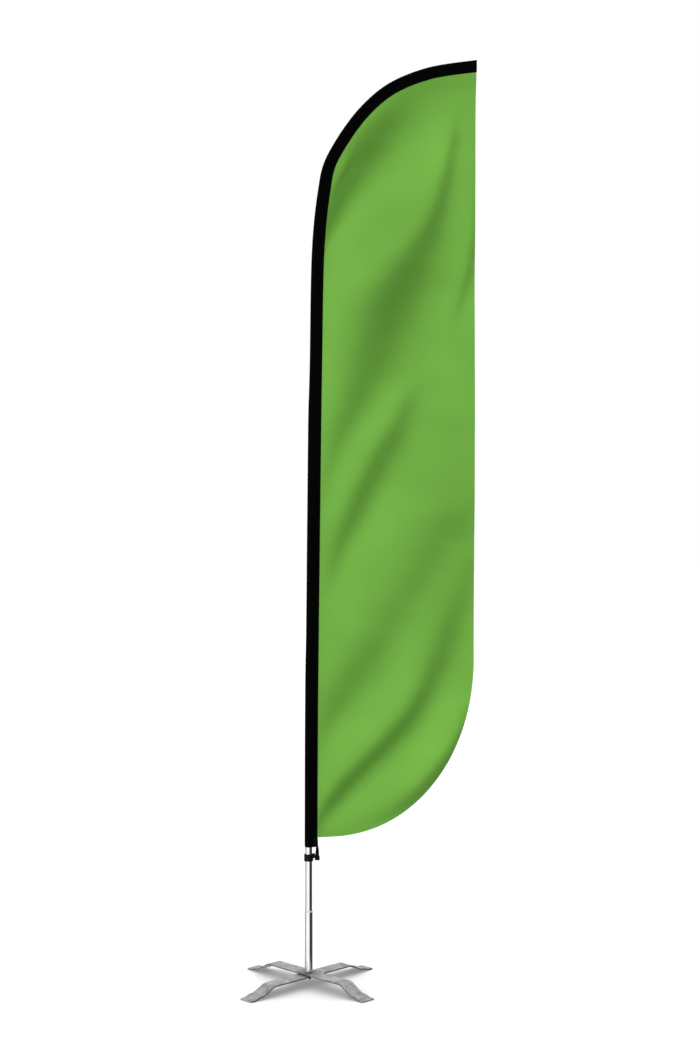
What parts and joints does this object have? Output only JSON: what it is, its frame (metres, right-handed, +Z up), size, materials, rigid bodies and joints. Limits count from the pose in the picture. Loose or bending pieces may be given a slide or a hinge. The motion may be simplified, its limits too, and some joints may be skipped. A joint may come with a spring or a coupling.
{
  "type": "feather flag",
  "caption": "Tall feather-shaped sail sleeved on a bowed sectional pole, turning on a folding cross base of bent steel bars.",
  "frame": {"origin": "on the floor, below the middle of the whole flag's box; the spindle's axis stands at x = -0.1916 m, y = 0", "axes": "+Z up; +X from the pole towards the sail's free edge; the sail hangs in the XZ plane"},
  "size_m": [0.858, 0.4746, 3.4079],
  "materials": {
    "galvanised_steel": "bright galvanised, faintly clouded",
    "machined_steel": "turned and zinc plated",
    "bearing_steel": "ground and polished",
    "nylon": "moulded nylon",
    "rubber": "moulded rubber",
    "black_plastic": "moulded, fine texture",
    "pole_aluminium": "polished tube",
    "fibreglass": "pultruded, smooth",
    "green_cloth": "knitted polyester flag cloth",
    "black_cloth": "woven nylon sleeve cloth",
    "black_webbing": "woven webbing",
    "black_elastic": "ribbed elastic"
  },
  "bodies": {
    "base": {"lower_bar": "galvanised_steel", "bar_washer": "nylon", "pivot_stud": "machined_steel", "pivot_washer": "machined_steel", "pivot_nut": "machined_steel", "lower_inner_race": "bearing_steel", "upper_inner_race": "bearing_steel", "stud_circlip": "machined_steel"},
    "top_bar": {"upper_bar": "galvanised_steel"},
    "lower_balls": {"lower_ball_set": "bearing_steel"},
    "upper_balls": {"upper_ball_set": "bearing_steel"},
    "spindle": {"spindle_tube": "machined_steel", "spindle_ring_1": "rubber", "spindle_ring_2": "rubber", "spindle_cap": "black_plastic", "lower_outer_race": "bearing_steel", "upper_outer_race": "bearing_steel"},
    "mast": {"bottom_pole": "pole_aluminium", "mid_pole": "pole_aluminium", "mid_ferrule": "pole_aluminium", "upper_pole": "fibreglass", "tip_ferrule": "pole_aluminium", "tip_pole": "fibreglass", "tip_cap": "rubber", "tip_pad": "black_cloth", "pole_sleeve": "black_cloth", "sail": "green_cloth", "loop_tab": "black_webbing", "elastic_loop": "black_elastic"},
    "collar": {"tension_collar": "black_plastic"}
  },
  "joints": [
    {"name": "base_fold", "type": "hinge", "parent": "base", "child": "top_bar", "pos_m": [-0.19163, 0, 0.0414], "axis": [0, 0, 1], "range_deg": [-70, 70]},
    {"name": "spindle_turn", "type": "hinge", "parent": "base", "child": "spindle", "pos_m": [-0.19163, 0, 0.15], "axis": [0, 0, 1], "continuous": true},
    {"name": "lower_balls_turn", "type": "hinge", "parent": "base", "child": "lower_balls", "pos_m": [-0.19163, 0, 0.0533], "axis": [0, 0, 1], "continuous": true},
    {"name": "upper_balls_turn", "type": "hinge", "parent": "base", "child": "upper_balls", "pos_m": [-0.19163, 0, 0.2393], "axis": [0, 0, 1], "continuous": true},
    {"name": "mast_lift", "type": "slide", "parent": "spindle", "child": "mast", "axis": [0, 0, 1], "range_m": [0, 0.22]},
    {"name": "collar_slide", "type": "slide", "parent": "mast", "child": "collar", "axis": [0, 0, -1], "range_m": [0, 0.045], "deforming": ["elastic_loop"]}
  ],
  "couplings": [
    {"joint": "lower_balls_turn", "follows": "spindle_turn", "ratio": 0.6},
    {"joint": "upper_balls_turn", "follows": "spindle_turn", "ratio": 0.6}
  ]
}
